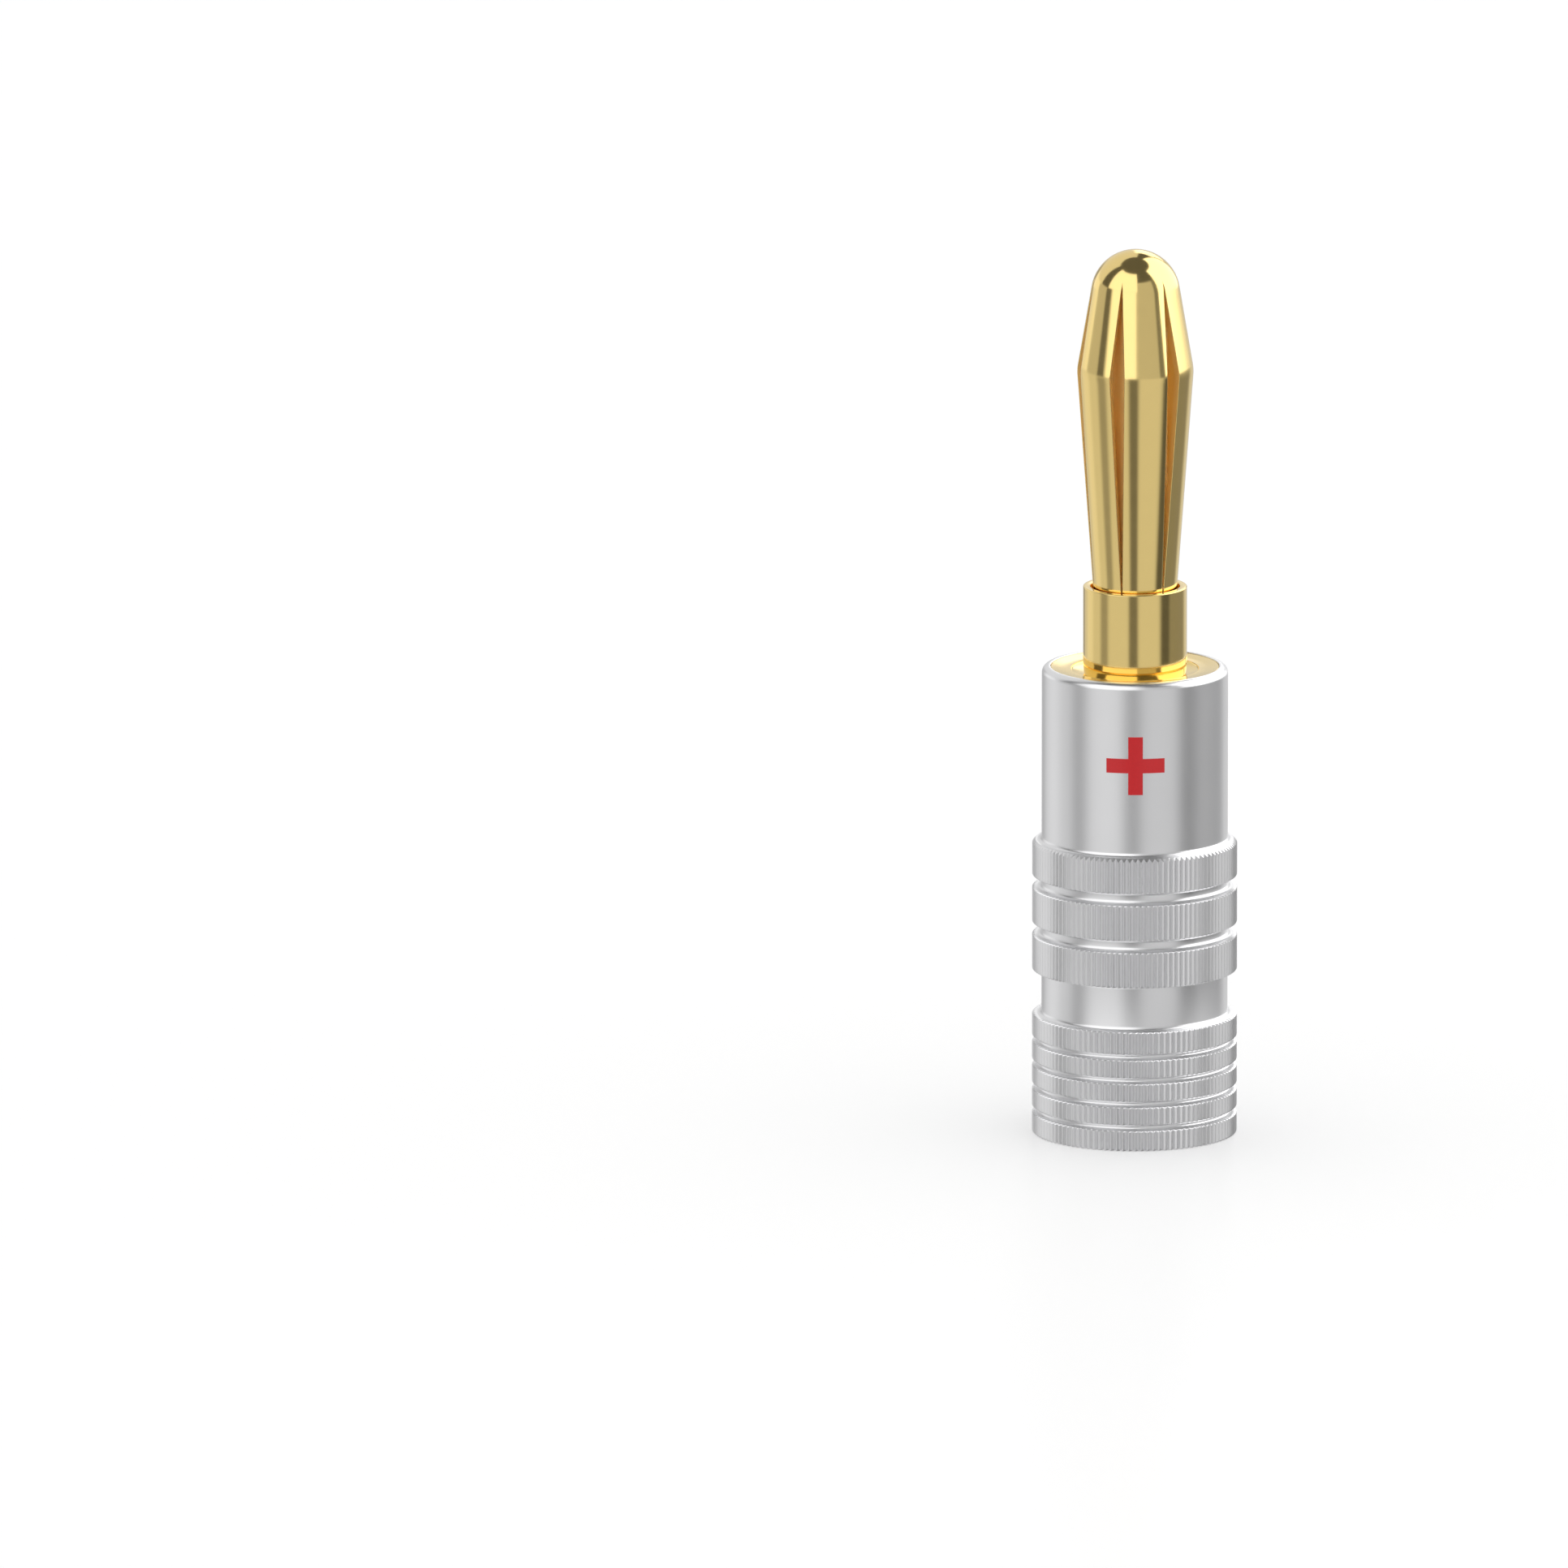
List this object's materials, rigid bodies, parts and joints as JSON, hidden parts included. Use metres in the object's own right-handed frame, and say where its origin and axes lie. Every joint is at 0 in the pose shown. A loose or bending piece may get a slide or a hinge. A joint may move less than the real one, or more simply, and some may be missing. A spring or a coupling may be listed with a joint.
{
  "type": "banana plug",
  "caption": "Banana plug for speaker cable: sprung lantern pin with slits, plain barrel with knurled grip bands, and a knurled rear cap that screws on to clamp the wire.",
  "frame": {"origin": "centre of the rear face, on which the plug stands", "axes": "+Z along the plug's axis from the cable end to the nose, +X across"},
  "size_m": [0.0086, 0.0086, 0.0381],
  "materials": {
    "satin_aluminium": "satin",
    "gold_plated_brass": "polished"
  },
  "bodies": {
    "rear_unit": {"rear_cap": "satin_aluminium", "wire_sleeve": "gold_plated_brass"},
    "pin_unit": {"contact_core": "gold_plated_brass", "pin_collar": "gold_plated_brass", "core_pin": "gold_plated_brass", "lantern_spring": "gold_plated_brass"},
    "shell": {"front_shell": "satin_aluminium"}
  },
  "joints": [
    {"name": "pin_lift", "type": "slide", "parent": "rear_unit", "child": "pin_unit", "axis": [0, 0, 1], "range_m": [0, 0.0045]},
    {"name": "shell_turn", "type": "hinge", "parent": "pin_unit", "child": "shell", "pos_m": [0, 0, 0.0135], "axis": [0, 0, 1], "range_deg": [0, 2160]}
  ],
  "couplings": [
    {"joint": "shell_turn", "follows": "pin_lift", "rad_per_m": 8377.6}
  ]
}
